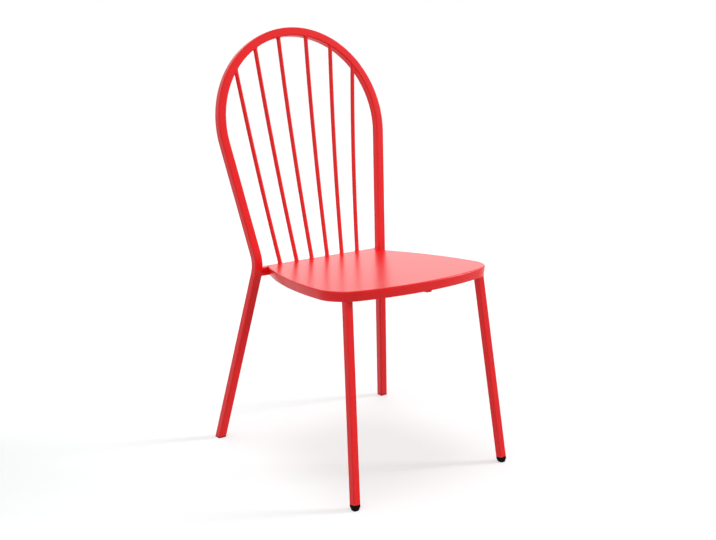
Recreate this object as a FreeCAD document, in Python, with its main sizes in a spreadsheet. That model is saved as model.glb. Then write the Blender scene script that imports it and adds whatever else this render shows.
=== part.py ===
import FreeCAD, Part
import math
import os
import Sketcher
from FreeCAD import Placement, Rotation, Vector

# Driving sizes in millimetres and degrees. "back" counts rearward and "front" forward from the middle
# of the seat, "half span" counts sideways from the middle plane.
SIZES = {
    # bent square tube of the rear legs and the back hoop
    "tube_width": 20.0,
    "tube_corner": 2.5,
    "corner_flat_angle": 45.0,
    "tube_wall": 1.5,
    "hoop_radius": 220.9,
    "hoop_rise": 317.3,
    "back_lean_angle": 13.3,
    "bend_half_span": 176.2,
    "bend_back": 172.0,
    "bend_height": 438.6,
    "bend_radius": 95.0,
    "rear_foot_half_span": 247.3,
    "rear_foot_back": 255.6,
    # square tube of the front legs and of the frame under the seat
    "leg_width": 17.0,
    "leg_corner": 2.0,
    "leg_wall": 1.2,
    "front_foot_half_span": 207.6,
    "front_foot_front": 256.8,
    "leg_top_half_span": 178.52,
    "leg_top_front": 189.92,
    # pressed seat sheet with its turned-down skirt
    "seat_height": 443.2,
    "seat_slope_angle": 3.65,
    "sheet_thickness": 1.2,
    "seat_front": 241.6,
    "seat_half_width": 218.1,
    "widest_station": 160.9,
    "front_arc_radius": 558.3,
    "front_corner_radius": 78.9,
    "side_arc_radius": 868.0,
    "rear_corner_radius": 12.0,
    "skirt_depth": 22.0,
    "skirt_lean_angle": 9.5,
    "outer_fold_flat": 1.75,
    "inner_fold_flat": 1.0,
    # frame under the seat
    "rear_rail_back": 177.0,
    "side_rail_rear_half_span": 138.0,
    "brace_width": 14.0,
    "brace_depth": 24.0,
    "brace_wall": 1.5,
    "brace_edge_radius": 1.2,
    "notch_clearance": 0.1,
    # round rods of the back
    "spindle_diameter": 10.0,
    "spindle_bow_radius": 5200.0,
    "spindle_bow_count": 3,
    "spindle_setback": 4.0,
    "spindle_forward": 5.0,
    "spindle_edge_gap": 0.5,
    "inner_base_half_span": 22.4,
    "middle_base_half_span": 65.6,
    "outer_base_half_span": 111.7,
    "inner_top_angle": 10.1,
    "middle_top_angle": 28.8,
    "outer_top_angle": 48.7,
    # plastic ends of the legs
    "front_foot_height": 12.5,
    "front_collar_height": 5.0,
    "front_glide_width": 12.0,
    "front_glide_corner": 4.0,
    "glide_past_floor": 2.5,
    "rear_plate": 2.5,
    "plug_length": 18.0,
    "plug_clearance": 0.1,
    # weld beads
    "rod_bead": 2.0,
    "bead_root": 1.5,
    "bead_edge": 0.5,
    "bead_slope_angle": 40.0,
    "rail_bead": 3.0,
    "leg_bead": 1.8,
    # length that a tool or a blank goes past the piece
    "trim": 30.0,
}

DOC = FreeCAD.newDocument("chair")
SHEET = DOC.addObject("Spreadsheet::Sheet", "Sizes")
for row, (alias, value) in enumerate(SIZES.items(), 1):
    SHEET.set(f"A{row}", alias)
    SHEET.set(f"B{row}", str(value))
    SHEET.setAlias(f"B{row}", alias)
DOC.recompute()

NODES = []


def size(alias):
    """Value of a size in the sheet."""
    return float(SHEET.get(alias))


def derive(alias, value):
    """Keep a length that follows from the others in the sheet, and return the expression that reads it."""
    row = 1
    while SHEET.getContents(f"A{row}"):
        row += 1
    SHEET.set(f"A{row}", alias)
    SHEET.set(f"B{row}", f"{value:.6f}")
    SHEET.setAlias(f"B{row}", alias)
    DOC.recompute()
    return "Sizes." + alias


def bind(thing, **expressions):
    """Bind properties of a thing to the sheet, one expression each."""
    for name, expression in expressions.items():
        thing.setExpression(name.replace("__", "."), expression)


def node(thing, label):
    """Keep a finished piece under its own name."""
    thing.Label = label
    NODES.append(thing)
    return thing


def cut(label, base, *tools):
    """Base less its tools, one after the other."""
    result = base
    for number, tool in enumerate(tools, 1):
        name = label if number == len(tools) else f"{label}_step_{number}"
        step = DOC.addObject("Part::Cut", name)
        step.Base = result
        step.Tool = tool
        result = step
    return result


def common(label, base, tool):
    """What base and tool share."""
    result = DOC.addObject("Part::Common", label)
    result.Base = base
    result.Tool = tool
    return result


def frame(origin, along, ahead):
    """Placement with Z along one direction and Y as near as can be to another."""
    axis_z = Vector(along).normalize()
    axis_x = Vector(ahead).cross(axis_z).normalize()
    axis_y = axis_z.cross(axis_x)
    matrix = FreeCAD.Matrix(
        axis_x.x, axis_y.x, axis_z.x, origin.x,
        axis_x.y, axis_y.y, axis_z.y, origin.y,
        axis_x.z, axis_y.z, axis_z.z, origin.z,
        0, 0, 0, 1,
    )
    return Placement(matrix)


# Where things are
SIDES = {"left": -1, "right": 1}
UP = Vector(0, 0, 1)


def seat_plane(middle):
    """The sheet's own sloping plane, with its origin at the middle of the plan."""
    return Placement(
        Vector(0, -middle, size("seat_height")),
        Rotation(Vector(1, 0, 0), -size("seat_slope_angle")),
    )


def leg_ends(side, middle):
    """Floor point of a front leg's axis and the point where it meets the top of the sheet."""
    foot = Vector(side * size("front_foot_half_span"), -size("front_foot_front") - middle, 0)
    top = Vector(side * size("leg_top_half_span"), -size("leg_top_front"), 0)
    return foot, seat_plane(middle).multVec(top)


def leg_frame(side, middle):
    """Frame at a front leg's floor point, Z up its axis, faces square to the chair."""
    foot, top = leg_ends(side, middle)
    return frame(foot, top - foot, Vector(0, 1, 0))


def section_reach(stock, one, other):
    """How far a square tube's outline reaches in a direction, given by its shares along two sides."""
    edge = size(stock + "_width") / 2
    corner = size(stock + "_corner")
    flat = edge - corner
    between = edge - corner * (1 - math.cos(math.radians(size("corner_flat_angle"))))
    one = abs(one)
    other = abs(other)
    return max(edge * one + flat * other, between * (one + other), flat * one + edge * other)


def middle_of_depth():
    """Middle between the rearmost point of the hoop and the foremost point of the front feet."""
    lean = math.radians(size("back_lean_angle"))
    top = size("hoop_rise") + size("hoop_radius")
    rear = size("bend_back") + top * math.sin(lean) + section_reach("tube", math.sin(lean), math.cos(lean))
    stand = leg_frame(1, 0)
    taper = size("front_foot_height") - size("front_collar_height")
    ring = stand.multVec(Vector(0, 0, taper))
    turn = stand.Rotation
    aside = turn.multVec(Vector(1, 0, 0)).y
    ahead = turn.multVec(Vector(0, 1, 0)).y
    return (rear + ring.y - section_reach("leg", aside, ahead)) / 2


MIDDLE = middle_of_depth()
SEAT_PLANE = seat_plane(MIDDLE)
FLOOR_PLANE = Placement()
# the blocks that trim pieces are this far to each side, well past the chair's own reach
REACH = "Sizes.seat_height"
reach = size("seat_height")
BACK_LEAN = math.radians(size("back_lean_angle"))
HOOP_UP = Vector(0, math.sin(BACK_LEAN), math.cos(BACK_LEAN))
HOOP_AHEAD = Vector(0, -HOOP_UP.z, HOOP_UP.y)


def hoop_point(across, up, forward=0.0):
    """Point in the leaning plane of the back, measured from the level of the bends."""
    level = Vector(across, size("bend_back") - MIDDLE, size("bend_height"))
    return level + HOOP_UP * up + HOOP_AHEAD * forward


def on_seat(across, back, above=0.0):
    """Point in the seat's own sloping plane."""
    return SEAT_PLANE.multVec(Vector(across, back, above))


# Sketches
def sketch_on(body, label, role="XY_Plane"):
    """Empty sketch on one of the body's own origin planes."""
    sketch = body.newObject("Sketcher::SketchObject", label)
    plane = [part for part in body.Origin.OriginFeatures if part.Role == role][0]
    sketch.AttachmentSupport = [(plane, "")]
    sketch.MapMode = "FlatFace"
    return sketch


def constrain(sketch, name, expression, kind, *arguments):
    """Named dimension of a sketch, bound to the sheet."""
    index = sketch.addConstraint(Sketcher.Constraint(kind, *arguments))
    sketch.renameConstraint(index, name)
    sketch.setExpression("Constraints." + name, expression)


def arc(centre, radius, start, end):
    """Counter-clockwise arc between two points."""
    first = math.atan2(start.y - centre.y, start.x - centre.x)
    last = math.atan2(end.y - centre.y, end.x - centre.x)
    if last < first:
        last += 2 * math.pi
    return Part.ArcOfCircle(Part.Circle(centre, UP, radius), first, last)


def polygon(sketch, prefix, points):
    """Closed run of lines through points, whose coordinates are pairs of a value and its expression."""
    first = sketch.GeometryCount
    count = len(points)
    vectors = [Vector(across[0], up[0], 0) for across, up in points]
    for index in range(count):
        sketch.addGeometry(Part.LineSegment(vectors[index], vectors[(index + 1) % count]), False)
    for index in range(count):
        after = first + (index + 1) % count
        sketch.addConstraint(Sketcher.Constraint("Coincident", first + index, 2, after, 1))
    for index, point in enumerate(points):
        for kind, axis, (value, expression) in zip(("DistanceX", "DistanceY"), (-2, -1), point):
            name = f"{prefix}_{index}_{kind[-1].lower()}"
            if value > 0:
                constrain(sketch, name, expression, kind, -1, 1, first + index, 1, value)
            elif value < 0:
                constrain(sketch, name, f"-({expression})", kind, first + index, 1, -1, 1, -value)
            else:
                sketch.addConstraint(Sketcher.Constraint("PointOnObject", first + index, 1, axis))


def rectangle(sketch, prefix, left, right, low, high):
    """Rectangle between four coordinates."""
    polygon(sketch, prefix, [(left, low), (right, low), (right, high), (left, high)])


def opposite(coordinate):
    """The same coordinate on the other side of the origin."""
    value, expression = coordinate
    return -value, f"-({expression})"


def square(sketch, prefix, width):
    """Square about the origin."""
    half = (width[0] / 2, f"({width[1]}) / 2")
    rectangle(sketch, prefix, opposite(half), half, opposite(half), half)


def rounded_square(sketch, prefix, width, corner):
    """Square about the origin, each rounded corner drawn in two flats between points on its radius."""
    saved = 1 - math.cos(math.radians(size("corner_flat_angle")))
    edge = (width[0] / 2, f"({width[1]}) / 2")
    flat = (edge[0] - corner[0], f"{edge[1]} - ({corner[1]})")
    between = (edge[0] - corner[0] * saved, f"{edge[1]} - ({corner[1]}) * (1 - cos(Sizes.corner_flat_angle))")
    quarter = [(edge, flat), (between, between), (flat, edge)]
    points = []
    for across_sign, up_sign in ((1, 1), (-1, 1), (-1, -1), (1, -1)):
        turned = quarter if across_sign == up_sign else quarter[::-1]
        for across, up in turned:
            across = across if across_sign > 0 else opposite(across)
            up = up if up_sign > 0 else opposite(up)
            points.append((across, up))
    polygon(sketch, prefix, points)


def stock_outline(stock, wider="0", more=0.0):
    """Width and corner of a square tube stock, the same or a collar's thickness wider."""
    width = (size(stock + "_width") + 2 * more, f"Sizes.{stock}_width + 2 * ({wider})")
    corner = (size(stock + "_corner") + more, f"Sizes.{stock}_corner + ({wider})")
    return width, corner


def tube_section(sketch, stock, part="tube", gap="", less=0.0):
    """Section of a square tube stock: the tube itself, its outline alone, or its bore less a gap."""
    if part != "bore":
        rounded_square(sketch, "outline", *stock_outline(stock))
    if part != "outline":
        bore = size(stock + "_width") - 2 * size(stock + "_wall") - 2 * less
        expression = f"Sizes.{stock}_width - 2 * Sizes.{stock}_wall"
        if gap:
            expression += f" - 2 * {gap}"
        square(sketch, "bore", (bore, expression))


def straight_tube(label, stock, place, length, start="", part="tube", gap="", less=0.0):
    """Straight length of square tube, its solid outline or its bore, standing along Z of its placement."""
    body = DOC.addObject("PartDesign::Body", label)
    sketch = sketch_on(body, label + "_section")
    tube_section(sketch, stock, part, gap, less)
    if start:
        bind(sketch, AttachmentOffset__Base__z=start)
    pad = body.newObject("PartDesign::Pad", label + "_length")
    pad.Profile = sketch
    bind(pad, Length=length)
    body.Placement = place
    return body


def seat_outline(sketch, inset):
    """Seat outline of tangent arcs, set in from the sheet's edge by an expression."""
    edge, less = inset
    front_radius = size("front_arc_radius") - edge
    corner_radius = size("front_corner_radius") - edge
    side_radius = size("side_arc_radius") - edge
    rear_radius = size("rear_corner_radius") - edge
    back = seat_back() - edge
    front_centre = Vector(0, size("front_arc_radius") - size("seat_front"), 0)
    side_centre = Vector(size("seat_half_width") - size("side_arc_radius"), -size("widest_station"), 0)
    # the corner circle touches the front and side arcs from inside
    reach_front = front_radius - corner_radius
    reach_side = side_radius - corner_radius
    between = side_centre - front_centre
    along = (reach_front**2 - reach_side**2 + between.Length**2) / (2 * between.Length)
    aside = math.sqrt(reach_front**2 - along**2)
    between.normalize()
    corner_centre = front_centre + between * along + Vector(-between.y, between.x, 0) * aside
    rear_y = back - rear_radius
    rear_x = side_centre.x + math.sqrt((side_radius - rear_radius) ** 2 - (rear_y - side_centre.y) ** 2)
    rear_centre = Vector(rear_x, rear_y, 0)
    one = corner_centre + (corner_centre - front_centre).normalize() * corner_radius
    two = corner_centre + (corner_centre - side_centre).normalize() * corner_radius
    three = rear_centre + (rear_centre - side_centre).normalize() * rear_radius
    four = Vector(rear_x, back, 0)

    def other(point):
        return Vector(-point.x, point.y, 0)

    sketch.addGeometry(arc(front_centre, front_radius, other(one), one), False)
    sketch.addGeometry(arc(corner_centre, corner_radius, one, two), False)
    sketch.addGeometry(arc(side_centre, side_radius, two, three), False)
    sketch.addGeometry(arc(rear_centre, rear_radius, three, four), False)
    sketch.addGeometry(Part.LineSegment(four, other(four)), False)
    sketch.addGeometry(arc(other(rear_centre), rear_radius, other(four), other(three)), False)
    sketch.addGeometry(arc(other(side_centre), side_radius, other(three), other(two)), False)
    sketch.addGeometry(arc(other(corner_centre), corner_radius, other(two), other(one)), False)
    count = 8
    for index in range(count):
        sketch.addConstraint(Sketcher.Constraint("Tangent", index, 2, (index + 1) % count, 1))
    for pair in ((1, 7), (2, 6), (3, 5)):
        sketch.addConstraint(Sketcher.Constraint("Equal", *pair))
    sketch.addConstraint(Sketcher.Constraint("PointOnObject", 0, 3, -2))
    sketch.addConstraint(Sketcher.Constraint("Horizontal", 4))
    less = f" - ({less})"
    constrain(
        sketch, "front_centre", "Sizes.front_arc_radius - Sizes.seat_front",
        "DistanceY", -1, 1, 0, 3, front_centre.y,
    )
    constrain(sketch, "front_radius", "Sizes.front_arc_radius" + less, "Radius", 0, front_radius)
    constrain(sketch, "corner_radius", "Sizes.front_corner_radius" + less, "Radius", 1, corner_radius)
    constrain(sketch, "side_radius", "Sizes.side_arc_radius" + less, "Radius", 2, side_radius)
    constrain(sketch, "rear_radius", "Sizes.rear_corner_radius" + less, "Radius", 3, rear_radius)
    aside = "Sizes.side_arc_radius - Sizes.seat_half_width"
    constrain(sketch, "right_centre", aside, "DistanceX", 2, 3, -1, 1, -side_centre.x)
    constrain(sketch, "left_centre", aside, "DistanceX", -1, 1, 6, 3, -side_centre.x)
    station = "Sizes.widest_station"
    constrain(sketch, "right_station", station, "DistanceY", 2, 3, -1, 1, -side_centre.y)
    constrain(sketch, "left_station", station, "DistanceY", 6, 3, -1, 1, -side_centre.y)
    constrain(sketch, "rear_edge", SEAT_BACK + less, "DistanceY", -1, 1, 4, 1, back)


SEAT_BACK = (
    "Sizes.rear_rail_back + Sizes.spindle_setback"
    " - Sizes.spindle_diameter / 2 - Sizes.spindle_edge_gap"
)
SKIRT_LEAN = math.radians(size("skirt_lean_angle"))
AT_EDGE = (0.0, "0")
# the inner face of the leaning skirt, at the level of the sheet's underside
AT_WALL = (
    size("sheet_thickness") * (1 / math.cos(SKIRT_LEAN) + math.tan(SKIRT_LEAN)),
    "Sizes.sheet_thickness * (1 / cos(Sizes.skirt_lean_angle) + tan(Sizes.skirt_lean_angle))",
)


def seat_back():
    """Rear edge of the sheet, in its own plane, clear of the rods."""
    base = size("rear_rail_back") + size("spindle_setback")
    return base - size("spindle_diameter") / 2 - size("spindle_edge_gap")


def pressed_form(label, inset, top, depth, lean=""):
    """Solid of the seat's outline under a plane, its sides leaning in."""
    body = DOC.addObject("PartDesign::Body", label)
    sketch = sketch_on(body, label + "_outline")
    seat_outline(sketch, inset)
    if top:
        bind(sketch, AttachmentOffset__Base__z=top)
    pad = body.newObject("PartDesign::Pad", label + "_depth")
    pad.Profile = sketch
    pad.Reversed = True
    bind(pad, Length=depth)
    if lean:
        bind(pad, TaperAngle="-" + lean)
    DOC.recompute()
    body.Placement = SEAT_PLANE
    return body


def top_edges(pad):
    """Names of the edges round a pad's top, without the straight one at the rear."""
    level = pad.Shape.BoundBox.ZMax
    back = pad.Shape.BoundBox.YMax
    names = []
    for index, edge in enumerate(pad.Shape.Edges, 1):
        box = edge.BoundBox
        flat = math.isclose(box.ZMin, level, abs_tol=1e-4) and math.isclose(box.ZMax, level, abs_tol=1e-4)
        rear = math.isclose(box.YMin, back, abs_tol=1e-3)
        if flat and not rear:
            names.append(f"Edge{index}")
    return names


def fold(body, flat):
    """Break the top edge of a pressed form with the flat that the fold's round is drawn as."""
    pad = body.Tip
    edge = body.newObject("PartDesign::Chamfer", body.Name + "_fold")
    edge.Base = (pad, top_edges(pad))
    bind(edge, Size=flat)
    return body


def block(label, origin, place, length, width, height):
    """Box given by its low corner in a placement, sizes as expressions."""
    box = DOC.addObject("Part::Box", label)
    bind(box, Length=length, Width=width, Height=height)
    box.Placement = place * Placement(origin, Rotation())
    return box


# Back hoop and rear legs
def line(start, end):
    """Straight edge between two points."""
    return Part.LineSegment(start, end).toShape()


def other_side(point):
    """The same point on the other side of the chair."""
    return Vector(-point.x, point.y, point.z)


def hoop_route():
    """Centre line from the left floor point over the hoop to the right one, and the start section."""
    radius = size("hoop_radius")
    rise = size("hoop_rise")
    half = size("bend_half_span")
    side_angle = math.atan2(-rise, half) + math.acos(radius / math.hypot(half, rise))
    bend = hoop_point(half, 0)
    touch = hoop_point(radius * math.cos(side_angle), rise + radius * math.sin(side_angle))
    foot = Vector(size("rear_foot_half_span"), size("rear_foot_back") - MIDDLE, 0)
    end = foot + (foot - bend).normalize() * size("trim")
    down = (end - bend).normalize()
    upward = (touch - bend).normalize()
    half_angle = down.getAngle(upward) / 2
    bisector = (down + upward).normalize()
    centre = bend + bisector * (size("bend_radius") / math.sin(half_angle))
    length = size("bend_radius") / math.tan(half_angle)
    low = bend + down * length
    high = bend + upward * length
    middle = centre - bisector * size("bend_radius")
    apex = hoop_point(0, rise + radius)
    edges = [
        line(other_side(end), other_side(low)),
        Part.Arc(other_side(low), other_side(middle), other_side(high)).toShape(),
        line(other_side(high), other_side(touch)),
        Part.Arc(other_side(touch), apex, touch).toShape(),
        line(touch, high),
        Part.Arc(high, middle, low).toShape(),
        line(low, end),
    ]
    turn = Rotation(other_side(upward), other_side(down).negative())
    return Part.Wire(edges), other_side(end), other_side(down).negative(), turn.multVec(HOOP_AHEAD)


def sweep(label, wire, place, draw, corners="Transformed"):
    """Section, drawn by a function of its sketch, carried along a centre line."""
    route = DOC.addObject("Part::Feature", label + "_route")
    route.Shape = wire
    sketch = DOC.addObject("Sketcher::SketchObject", label + "_section")
    draw(sketch)
    sketch.Placement = place
    swept = DOC.addObject("Part::Sweep", label)
    swept.Sections = [sketch]
    swept.Spine = (route, [f"Edge{index}" for index in range(1, len(wire.Edges) + 1)])
    swept.Solid = True
    swept.Frenet = False
    swept.Transition = corners
    return swept


hoop_line, hoop_start, hoop_rising, hoop_facing = hoop_route()
REAR_LEG = {
    -1: frame(hoop_start, hoop_rising, hoop_facing),
    1: frame(other_side(hoop_start), other_side(hoop_rising), other_side(hoop_facing)),
}
hoop_core = sweep("hoop_core", hoop_line, REAR_LEG[-1], lambda sketch: tube_section(sketch, "tube", "outline"))
hoop_bore = sweep("hoop_bore", hoop_line, REAR_LEG[-1], lambda sketch: tube_section(sketch, "tube", "bore"))
ALL_ROUND = "2 * " + REACH
low_corner = Vector(-reach, -reach, -reach)
floor_block = block("floor_block", low_corner, FLOOR_PLANE, ALL_ROUND, ALL_ROUND, REACH)
plate_block = block(
    "plate_block", low_corner, FLOOR_PLANE, ALL_ROUND, ALL_ROUND, REACH + " + Sizes.rear_plate"
)
node(cut("hoop_frame", hoop_core, hoop_bore, plate_block), "hoop_frame")

# Seat sheet
pan_outer = pressed_form("pan_outer", AT_EDGE, "", "Sizes.skirt_depth", "Sizes.skirt_lean_angle")
fold(pan_outer, "Sizes.outer_fold_flat")
pan_room = pressed_form(
    "pan_room", AT_WALL, "-Sizes.sheet_thickness", "Sizes.skirt_depth + Sizes.trim", "Sizes.skirt_lean_angle"
)
fold(pan_room, "Sizes.inner_fold_flat")
sheet_flat = pressed_form("sheet_flat", AT_EDGE, "", "Sizes.sheet_thickness")
rail_front = size("rear_rail_back") - size("tube_width") / 2
front_field = block(
    "front_field", Vector(-reach, rail_front - 2 * reach, -reach), SEAT_PLANE, ALL_ROUND, ALL_ROUND, ALL_ROUND
)
rear_field = block(
    "rear_field", Vector(-reach, rail_front, -reach), SEAT_PLANE, ALL_ROUND, ALL_ROUND, ALL_ROUND
)
pan = common("pan", cut("pan_shell", pan_outer, pan_room), front_field)
lip = common("rear_lip", sheet_flat, rear_field)
seat_panel = DOC.addObject("Part::MultiFuse", "seat_panel")
seat_panel.Shapes = [pan, lip]
seat_panel.Refine = True
node(seat_panel, "seat_panel")

# everything beside and above the room inside the pan, which trims what is fitted up into it
pan_block = block(
    "pan_block", Vector(-reach, -reach, -size("skirt_depth")), SEAT_PLANE,
    ALL_ROUND, ALL_ROUND, "Sizes.skirt_depth + " + REACH,
)
pan_round = cut("pan_round", pan_block, pan_room)

# Front legs
leg_cores = {}
leg_blank = "Sizes.seat_height + Sizes.trim"
for name, side in SIDES.items():
    stand = leg_frame(side, MIDDLE)
    leg_cores[side] = straight_tube(f"leg_core_{name}", "leg", stand, leg_blank, part="outline")
    tube = straight_tube(f"leg_tube_{name}", "leg", stand, leg_blank, "Sizes.front_foot_height")
    node(cut(f"front_leg_{name}", tube, pan_round), f"front_leg_{name}")

# Frame under the seat
tube_level = -size("sheet_thickness") - size("tube_width") / 2
leg_level = -size("sheet_thickness") - size("leg_width") / 2


def leg_at(side, level):
    """Where a front leg's axis passes a level under the sheet, in the seat's plane."""
    foot, top = leg_ends(side, MIDDLE)
    inverse = SEAT_PLANE.inverse()
    low = inverse.multVec(foot)
    high = inverse.multVec(top)
    return low + (high - low) * ((level - low.z) / (high.z - low.z))


def seat_tube(label, stock, start, end, length, part="tube"):
    """Tube lying in the seat's plane from one point to another."""
    place = SEAT_PLANE * frame(start, end - start, UP)
    return straight_tube(label, stock, place, length, part=part)


rail_end = Vector(size("bend_half_span"), size("rear_rail_back"), tube_level)
rail_length = "2 * Sizes.bend_half_span"
rail_core = seat_tube("rear_rail_core", "tube", other_side(rail_end), rail_end, rail_length, "outline")
rail_tube = seat_tube("rear_rail_tube", "tube", other_side(rail_end), rail_end, rail_length)
node(cut("rear_rail", rail_tube, hoop_core), "rear_rail")

leg_place = {side: leg_at(side, leg_level) for side in SIDES.values()}


def from_leg(side, towards):
    """Start of a tube that butts a front leg: just inside the wall that faces it."""
    start = leg_place[side]
    depth = size("leg_width") / 2 - 2 * size("leg_wall")
    return start + (towards - start).normalize() * depth


front_start = from_leg(-1, leg_place[1])
front_end = from_leg(1, leg_place[-1])
front_length = derive("front_rail_length", (front_end - front_start).Length)
front_tube = seat_tube("front_rail_tube", "leg", front_start, front_end, front_length)
node(cut("front_rail", front_tube, leg_cores[-1], leg_cores[1]), "front_rail")
for name, side in SIDES.items():
    rear_end = Vector(side * size("side_rail_rear_half_span"), size("rear_rail_back"), leg_level)
    start = from_leg(side, rear_end)
    side_length = derive(f"side_rail_length_{name}", (rear_end - start).Length)
    tube = seat_tube(f"side_rail_tube_{name}", "leg", start, rear_end, side_length)
    node(cut(f"side_rail_{name}", tube, leg_cores[side], rail_core), f"side_rail_{name}")


def pocket_through(body, sketch, label):
    """Cut a sketch through the whole piece, along its length."""
    pocket = body.newObject("PartDesign::Pocket", label)
    pocket.Profile = sketch
    pocket.Type = "ThroughAll"
    pocket.Reversed = True
    return pocket


def channel_brace(label):
    """Channel open to the sheet, from the foot of the front skirt to the rear rail, notched for the rail."""
    width = size("brace_width")
    depth = size("brace_depth")
    wall = size("brace_wall")
    skirt_foot = size("seat_front") - size("skirt_depth") * math.tan(SKIRT_LEAN)
    start = size("sheet_thickness") / math.cos(SKIRT_LEAN) - skirt_foot
    half = (width / 2, "Sizes.brace_width / 2")
    inner = (width / 2 - wall, "Sizes.brace_width / 2 - Sizes.brace_wall")
    bottom = (-depth, "-Sizes.brace_depth")
    floor = (wall - depth, "Sizes.brace_wall - Sizes.brace_depth")
    level = (0.0, "0")
    above = (wall, "Sizes.brace_wall")
    # Z of the body runs rearward, Y upward, the sheet's underside is Y = 0
    body = DOC.addObject("PartDesign::Body", label)
    profile = sketch_on(body, label + "_profile")
    rectangle(profile, "outer", opposite(half), half, bottom, level)
    pad = body.newObject("PartDesign::Pad", label + "_length")
    pad.Profile = profile
    bind(pad, Length=derive("brace_length", rail_front - start))
    DOC.recompute()
    lower = [
        f"Edge{index}" for index, edge in enumerate(pad.Shape.Edges, 1)
        if math.isclose(edge.BoundBox.YMax, -depth, abs_tol=1e-3) and edge.BoundBox.ZLength > 2 * width
    ]
    rounded = body.newObject("PartDesign::Fillet", label + "_bends")
    rounded.Base = (pad, lower)
    bind(rounded, Radius="Sizes.brace_edge_radius")
    trough = sketch_on(body, label + "_trough")
    rectangle(trough, "inner", opposite(inner), inner, floor, above)
    pocket_through(body, trough, label + "_hollow")
    notch = sketch_on(body, label + "_notch", "YZ_Plane")
    rail_at = leg_place[1].y - start
    room = size("leg_width") / 2 + size("notch_clearance")
    at = derive("brace_rail_at", rail_at)
    clear = "(Sizes.leg_width / 2 + Sizes.notch_clearance)"
    rectangle(
        notch, "rail", (-size("leg_width"), "-Sizes.leg_width"), above,
        (rail_at - room, f"{at} - {clear}"), (rail_at + room, f"{at} + {clear}"),
    )
    seat_for_rail = body.newObject("PartDesign::Pocket", label + "_rail_notch")
    seat_for_rail.Profile = notch
    seat_for_rail.Midplane = True
    bind(seat_for_rail, Length="2 * Sizes.brace_width")
    DOC.recompute()
    middle = Vector(0, start, -size("sheet_thickness"))
    body.Placement = SEAT_PLANE * frame(middle, Vector(0, 1, 0), UP)
    return body


node(channel_brace("centre_brace"), "centre_brace")

# Back rods
disc_depth = 2 * size("tube_width")
HOOP_PLANE = frame(hoop_point(0, size("hoop_rise"), -disc_depth), HOOP_AHEAD, HOOP_UP)


def half_disc(label, radius):
    """Upper half of a thick disc about the hoop's centre."""
    disc = DOC.addObject("Part::Cylinder", label)
    bind(disc, Radius=radius, Height="4 * Sizes.tube_width")
    disc.Angle = 180
    disc.Placement = HOOP_PLANE
    return disc


# everything from the hoop's inner face outward, above the level of the hoop's centre
hoop_round = cut(
    "hoop_round", half_disc("outer_disc", "Sizes.hoop_radius + Sizes.trim"),
    half_disc("inner_disc", "Sizes.hoop_radius - Sizes.tube_width / 2"),
)
rod_block = block(
    "rod_block", Vector(-reach, -reach, -size("sheet_thickness") - reach), SEAT_PLANE,
    ALL_ROUND, ALL_ROUND, REACH,
)


def spindle_axis(row, side):
    """Foot and top of a rod's chord, and the direction in which it bows."""
    back = size("rear_rail_back") + size("spindle_setback")
    foot = on_seat(side * size(row + "_base_half_span"), back, -size("sheet_thickness"))
    angle = math.radians(size(row + "_top_angle"))
    radius = size("hoop_radius")
    top = hoop_point(
        side * radius * math.sin(angle), size("hoop_rise") + radius * math.cos(angle), size("spindle_forward")
    )
    chord = (top - foot).normalize()
    rearward = Vector(0, 1, 0)
    bow = (rearward - chord * rearward.dot(chord)).normalize()
    return foot, top, bow


def rod_points(row, side):
    """Corners of a rod's centre line, straight lengths that follow its bow and run past both ends."""
    foot, top, bow = spindle_axis(row, side)
    radius = size("spindle_bow_radius")
    half_chord = (top - foot).Length / 2
    half_angle = math.asin(half_chord / radius)
    chord = (top - foot).normalize()
    centre = (foot + top) / 2 - bow * math.sqrt(radius**2 - half_chord**2)
    count = int(size("spindle_bow_count"))
    points = []
    for step in range(count + 1):
        turn = half_angle * (2 * step / count - 1)
        points.append(centre + (bow * math.cos(turn) + chord * math.sin(turn)) * radius)
    points[0] += (points[0] - points[1]).normalize() * size("trim")
    points[-1] += (points[-1] - points[-2]).normalize() * (size("tube_width") / 2)
    return points


def rod_circle(sketch):
    """Round section of a rod."""
    radius = size("spindle_diameter") / 2
    sketch.addGeometry(Part.Circle(Vector(), UP, radius), False)
    sketch.addConstraint(Sketcher.Constraint("Coincident", 0, 3, -1, 1))
    constrain(sketch, "radius", "Sizes.spindle_diameter / 2", "Radius", 0, radius)


def spindle(label, row, side):
    """Gently bowed rod, long enough to be trimmed at both ends."""
    points = rod_points(row, side)
    # the seam of the round runs along the rod's front, clear of the sides that meet the hoop at a slant
    place = frame(points[0], points[1] - points[0], Vector(1, 0, 0))
    return sweep(label, Part.makePolygon(points), place, rod_circle, "Right corner")


def tangent_at(row, side, at_top):
    """Point of a rod's axis at one end and its direction there, pointing up the rod."""
    foot, top, bow = spindle_axis(row, side)
    points = rod_points(row, side)
    if at_top:
        return top, (points[-1] - points[-2]).normalize()
    return foot, (points[1] - points[0]).normalize()


RODS = []
for row in ("outer", "middle", "inner"):
    RODS.append((row, -1))
for row in ("inner", "middle", "outer"):
    RODS.append((row, 1))
rods = []
for number, (row, side) in enumerate(RODS, 1):
    blank = spindle(f"rod_{number}", row, side)
    rods.append(node(cut(f"spindle_{number}", blank, hoop_round, rod_block), f"spindle_{number}"))

# Plastic ends of the legs
collar_start = "Sizes.front_foot_height - Sizes.front_collar_height"
clearance = size("plug_clearance")


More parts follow.
